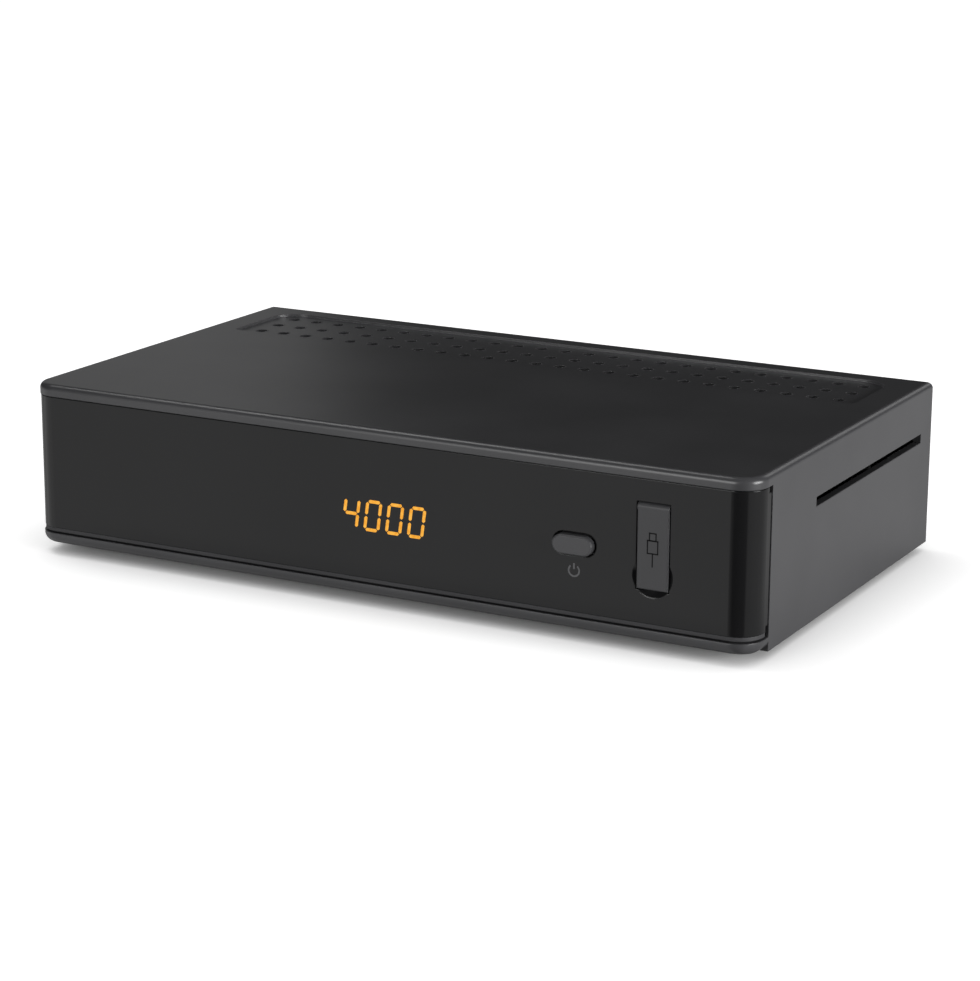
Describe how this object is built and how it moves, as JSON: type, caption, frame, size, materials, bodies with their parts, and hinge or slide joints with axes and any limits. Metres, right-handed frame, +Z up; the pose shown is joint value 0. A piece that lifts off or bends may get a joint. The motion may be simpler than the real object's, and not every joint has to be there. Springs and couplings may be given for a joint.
{
  "type": "satellite tv receiver",
  "caption": "Small set-top satellite receiver with a wrap-round front panel, digit display, power button, hinged socket cover, vented top, card slot and rear sockets.",
  "frame": {"origin": "bottom centre of the whole box, on the plane that the rubber feet stand on", "axes": "+X across the width to the right seen from the front, -Y is the front, +Z is up"},
  "size_m": [0.17, 0.1082, 0.038],
  "materials": {
    "housing_plastic": "fine-grained moulded, dark grey",
    "panel_plastic": "smooth smoked grey",
    "carrier_plastic": "plain moulded, dark grey",
    "button_plastic": "satin moulded, dark grey",
    "foot_rubber": "matt black",
    "zinc_steel": "zinc plated",
    "tin_steel": "tinned sheet",
    "nickel": "nickel plated",
    "gold_contact": "gold flashed",
    "black_insulator": "moulded, black",
    "white_insulator": "moulded, white",
    "display_lens": "dark diffusing face",
    "board_laminate": "green lacquered laminate",
    "chip_moulding": "moulded epoxy",
    "pad_silicone": "soft grey",
    "fin_aluminium": "black-grey anodised extrusion",
    "capacitor_sleeve": "sleeved can",
    "coil_moulding": "pressed powder, grey",
    "rear_steel": "painted sheet steel, dark",
    "orange_insulator": "moulded, orange"
  },
  "bodies": {
    "receiver": {"upper_housing": "housing_plastic", "base_tray": "carrier_plastic", "rubber_feet": "foot_rubber", "case_screws": "zinc_steel", "front_panel": "panel_plastic", "panel_carrier": "carrier_plastic", "switch_body": "black_insulator", "usb_cover_pin": "zinc_steel", "usb_shell": "tin_steel", "usb_insulator": "black_insulator", "usb_stand": "black_insulator", "front_board": "board_laminate", "front_board_screws": "zinc_steel", "display_module": "display_lens", "infrared_receiver": "black_insulator", "front_header": "black_insulator", "main_board": "board_laminate", "board_screws": "zinc_steel", "main_chip": "chip_moulding", "thermal_pad": "pad_silicone", "heat_sink": "fin_aluminium", "memory_chips": "chip_moulding", "flash_chip": "chip_moulding", "capacitors": "capacitor_sleeve", "power_coils": "coil_moulding", "crystal": "tin_steel", "tuner_can": "tin_steel", "aerial_input": "nickel", "aerial_output": "nickel", "aerial_insulators": "white_insulator", "aerial_nuts": "nickel", "scart_shell": "black_insulator", "scart_insulator": "black_insulator", "hdmi_shell": "tin_steel", "hdmi_tongue": "black_insulator", "network_socket": "black_insulator", "network_contacts": "gold_contact", "coax_block": "orange_insulator", "coax_barrel": "nickel", "coax_insulator": "orange_insulator", "supply_socket": "black_insulator", "supply_pin": "nickel", "rear_panel": "rear_steel", "card_board": "board_laminate", "card_reader": "black_insulator", "card_contacts": "gold_contact", "card_board_posts": "white_insulator", "card_header": "black_insulator"},
    "button": {"power_button": "button_plastic"},
    "plunger": {"switch_plunger": "black_insulator"},
    "cover": {"usb_cover": "panel_plastic"}
  },
  "joints": [
    {"name": "button_press", "type": "slide", "parent": "receiver", "child": "button", "axis": [0, 1, 0], "range_m": [0, 0.0005], "stiffness_N_per_m": 400, "springref_m": -0.002},
    {"name": "plunger_press", "type": "slide", "parent": "receiver", "child": "plunger", "axis": [0, 1, 0], "range_m": [0, 0.0005]},
    {"name": "cover_hinge", "type": "hinge", "parent": "receiver", "child": "cover", "pos_m": [0.06345, -0.05198, 0.02965], "axis": [-1, 0, 0], "range_deg": [0, 95]}
  ],
  "couplings": [
    {"joint": "plunger_press", "follows": "button_press", "ratio": 1}
  ]
}
